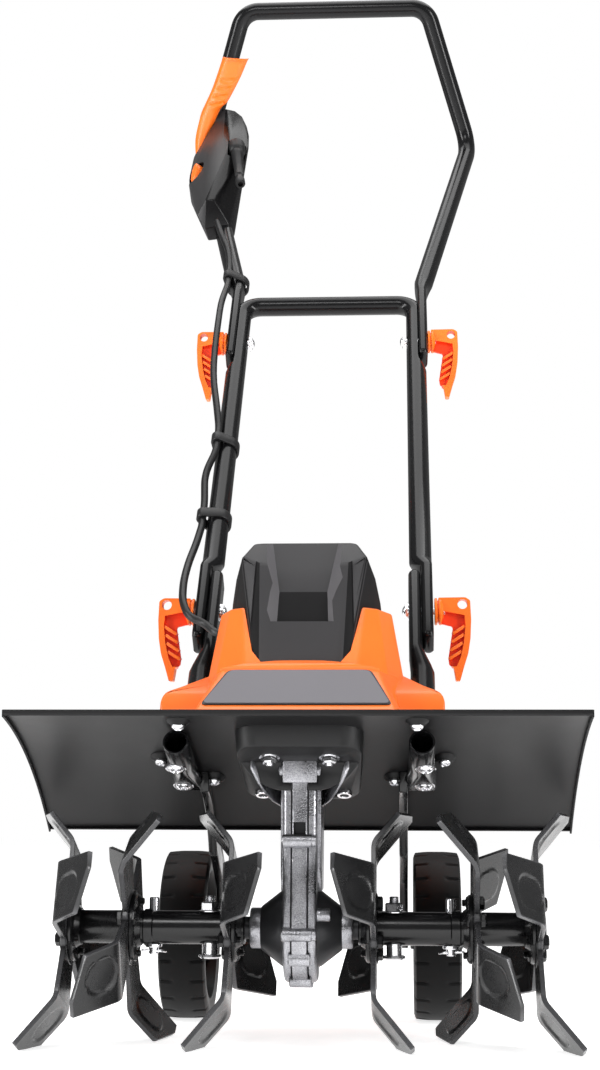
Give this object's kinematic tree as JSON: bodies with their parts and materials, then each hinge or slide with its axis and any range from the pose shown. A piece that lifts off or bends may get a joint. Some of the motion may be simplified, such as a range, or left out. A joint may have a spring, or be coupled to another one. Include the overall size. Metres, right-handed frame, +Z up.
{
  "type": "electric garden tiller",
  "caption": "Electric garden tiller with a bent-blade tine rotor, curved guard, motor hood, transport wheels and folding tube handle.",
  "frame": {"origin": "on the ground, at the middle of the machine's footprint box", "axes": "+X across the machine, to the right as seen from the tine side; +Y from the tines towards the operator; +Z up"},
  "size_m": [0.458, 0.9104, 1.2452],
  "materials": {
    "tine_steel": "black painted pressed steel, satin",
    "rotor_paint": "gloss black paint on steel tube",
    "cast_aluminium": "die-cast, fine sandy skin",
    "guard_paint": "semi-gloss black powder coat",
    "wheel_plastic": "moulded black plastic, satin",
    "gloss_tube": "gloss black stoved paint",
    "zinc": "bright zinc plate",
    "orange_plastic": "moulded orange plastic, satin gloss",
    "grey_plastic": "fine-grained grey plastic",
    "black_plastic": "fine-grained black plastic",
    "lead_rubber": "soft satin rubber sheath",
    "motor_mass": "wound motor, unseen"
  },
  "bodies": {
    "chassis": {"gear_case_left": "cast_aluminium", "gear_case_right": "cast_aluminium", "housing_shell": "orange_plastic", "lead_gland": "black_plastic", "lead_lower": "lead_rubber", "lower_cam_lever_left": "orange_plastic", "lower_cam_lever_right": "orange_plastic", "lower_clamp_bolt_left": "zinc", "lower_clamp_bolt_right": "zinc", "lower_tube_left": "gloss_tube", "lower_tube_right": "gloss_tube", "motor": "motor_mass", "motor_base": "black_plastic", "motor_cowl": "black_plastic", "nose_panel": "grey_plastic", "tine_guard": "guard_paint", "wheel_axle": "zinc", "wheel_stay_left": "guard_paint", "wheel_stay_right": "guard_paint"},
    "tine_rotor": {"output_shaft": "rotor_paint", "tine_star_left_inner": "tine_steel", "tine_star_left_middle": "tine_steel", "tine_star_left_outer": "tine_steel", "tine_star_right_inner": "tine_steel", "tine_star_right_middle": "tine_steel", "tine_star_right_outer": "tine_steel", "tine_tube_left": "rotor_paint", "tine_tube_right": "rotor_paint"},
    "wheel_left": {"wheel_left": "wheel_plastic"},
    "wheel_right": {"wheel_right": "wheel_plastic"},
    "middle_frame": {"lead_clip_low": "black_plastic", "lead_clip_middle": "black_plastic", "lead_middle": "lead_rubber", "middle_frame": "gloss_tube", "upper_cam_lever_left": "orange_plastic", "upper_cam_lever_right": "orange_plastic", "upper_clamp_bolt_left": "zinc", "upper_clamp_bolt_right": "zinc"},
    "upper_handle": {"bail_lever": "orange_plastic", "lead_clip_high": "black_plastic", "lead_upper": "lead_rubber", "safety_button": "orange_plastic", "switch_box": "black_plastic", "upper_handle": "gloss_tube"}
  },
  "joints": [
    {"name": "tine_spin", "type": "hinge", "parent": "chassis", "child": "tine_rotor", "pos_m": [0, -0.3529, 0.09257], "axis": [1, 0, 0], "continuous": true},
    {"name": "wheel_left_spin", "type": "hinge", "parent": "chassis", "child": "wheel_left", "pos_m": [-0.113, -0.1649, 0.075], "axis": [1, 0, 0], "continuous": true},
    {"name": "wheel_right_spin", "type": "hinge", "parent": "chassis", "child": "wheel_right", "pos_m": [0.113, -0.1649, 0.075], "axis": [1, 0, 0], "continuous": true},
    {"name": "lower_fold", "type": "hinge", "parent": "chassis", "child": "middle_frame", "pos_m": [0, -0.1499, 0.3736], "axis": [1, 0, 0], "range_deg": [0, 120]},
    {"name": "upper_fold", "type": "hinge", "parent": "middle_frame", "child": "upper_handle", "pos_m": [0, 0.14795, 0.71624], "axis": [-1, 0, 0], "range_deg": [0, 145]}
  ]
}
